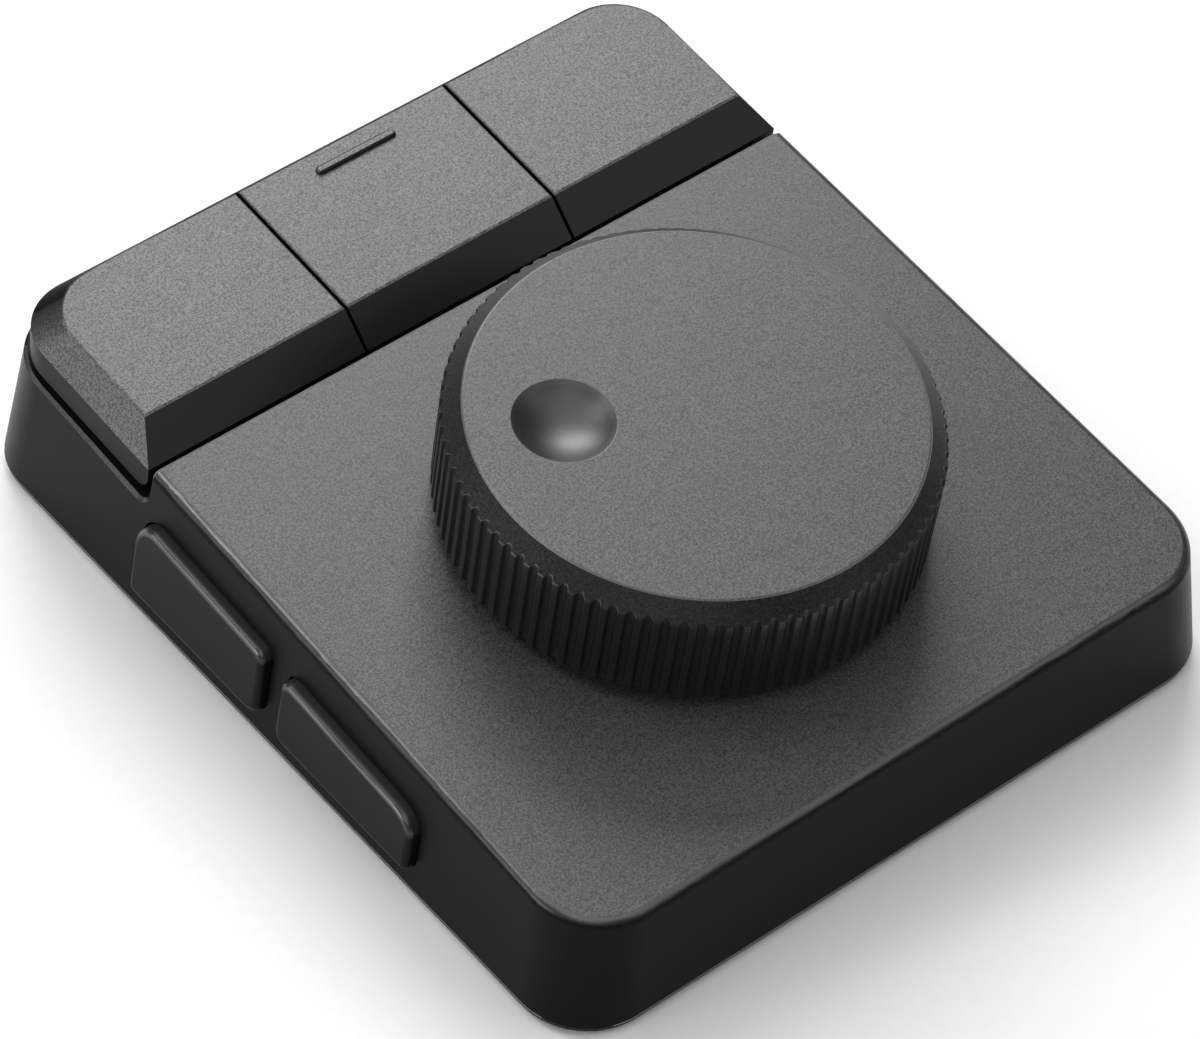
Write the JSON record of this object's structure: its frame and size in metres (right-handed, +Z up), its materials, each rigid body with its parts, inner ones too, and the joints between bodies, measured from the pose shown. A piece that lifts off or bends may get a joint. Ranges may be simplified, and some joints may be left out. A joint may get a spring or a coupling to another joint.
{
  "type": "desk controller with dial and keys",
  "caption": "Wedge-shaped desk controller with a large fluted finger dial, wide bevelled keys behind it and a pair of buttons in its left wall.",
  "frame": {"origin": "centre of the face that the pad rests on", "axes": "+Z up, +Y to the rear where the keys are, +X to the right"},
  "size_m": [0.0855, 0.0972, 0.0341],
  "materials": {
    "housing_plastic": "smooth satin charcoal plastic, fine speckled texture on the deck",
    "key_plastic": "fine speckled matte charcoal plastic",
    "dial_metal": "matte charcoal coating, speckled top",
    "hub_plastic": "moulded black plastic",
    "base_plastic": "dark textured plastic",
    "pad_rubber": "matte black silicone rubber",
    "steel": "plain bright steel",
    "brass": "turned brass",
    "zinc": "die-cast zinc",
    "circuit_board": "green solder mask",
    "switch_plastic": "black moulded plastic",
    "tip_plastic": "natural white plastic",
    "battery_wrap": "silver pouch foil",
    "connector_plastic": "off-white nylon"
  },
  "bodies": {
    "base": {"anti_slip_pad": "pad_rubber", "ballast_plate": "steel", "battery_connector": "connector_plastic", "battery_pack": "battery_wrap", "board_screws": "steel", "bottom_cover": "base_plastic", "controller_chip": "switch_plastic", "cover_screws": "steel", "encoder_body": "switch_plastic", "encoder_bush": "zinc", "encoder_nut": "steel", "encoder_washer": "steel", "key_switch_left": "switch_plastic", "key_switch_middle": "switch_plastic", "key_switch_right": "switch_plastic", "main_board": "circuit_board", "power_switch_body": "steel", "radio_shield": "steel", "side_switch_front": "switch_plastic", "side_switch_rear": "switch_plastic", "upper_housing": "housing_plastic", "usb_socket_shell": "steel", "usb_socket_tongue": "switch_plastic"},
    "key_left": {"key_left": "key_plastic", "key_plunger_left": "tip_plastic"},
    "key_middle": {"key_middle": "key_plastic", "key_plunger_middle": "tip_plastic"},
    "key_right": {"key_right": "key_plastic", "key_plunger_right": "tip_plastic"},
    "side_rear": {"side_button_rear": "housing_plastic", "side_plunger_rear": "tip_plastic"},
    "side_front": {"side_button_front": "housing_plastic", "side_plunger_front": "tip_plastic"},
    "rotor": {"encoder_rotor": "switch_plastic"},
    "dial": {"dial_knob": "dial_metal", "dial_hub": "hub_plastic", "encoder_shaft": "brass"},
    "press_tip": {"press_plunger": "tip_plastic"},
    "power": {"power_slider": "switch_plastic"}
  },
  "joints": [
    {"name": "key_left_press", "type": "slide", "parent": "base", "child": "key_left", "axis": [0, 0.0732, -0.9973], "range_m": [0, 0.0008], "stiffness_N_per_m": 700, "springref_m": -0.0004},
    {"name": "key_middle_press", "type": "slide", "parent": "base", "child": "key_middle", "axis": [0, 0.0732, -0.9973], "range_m": [0, 0.0008], "stiffness_N_per_m": 700, "springref_m": -0.0004},
    {"name": "key_right_press", "type": "slide", "parent": "base", "child": "key_right", "axis": [0, 0.0732, -0.9973], "range_m": [0, 0.0008], "stiffness_N_per_m": 700, "springref_m": -0.0004},
    {"name": "side_rear_press", "type": "slide", "parent": "base", "child": "side_rear", "axis": [1, 0, 0], "range_m": [0, 0.0005], "stiffness_N_per_m": 1200, "springref_m": -0.0004},
    {"name": "side_front_press", "type": "slide", "parent": "base", "child": "side_front", "axis": [1, 0, 0], "range_m": [0, 0.0005], "stiffness_N_per_m": 1200, "springref_m": -0.0004},
    {"name": "dial_spin", "type": "hinge", "parent": "base", "child": "rotor", "pos_m": [0, -0.0118, 0.0176], "axis": [0, -0.0732, 0.9973], "continuous": true},
    {"name": "dial_press", "type": "slide", "parent": "rotor", "child": "dial", "axis": [0, 0.0732, -0.9973], "range_m": [0, 0.0005], "stiffness_N_per_m": 4000, "springref_m": -0.0005},
    {"name": "press_tip_slide", "type": "slide", "parent": "base", "child": "press_tip", "axis": [0, 0.0732, -0.9973], "range_m": [0, 0.0005]},
    {"name": "power_slide", "type": "slide", "parent": "base", "child": "power", "axis": [1, 0, 0], "range_m": [0, 0.002]}
  ],
  "couplings": [
    {"joint": "press_tip_slide", "follows": "dial_press", "ratio": 1}
  ]
}
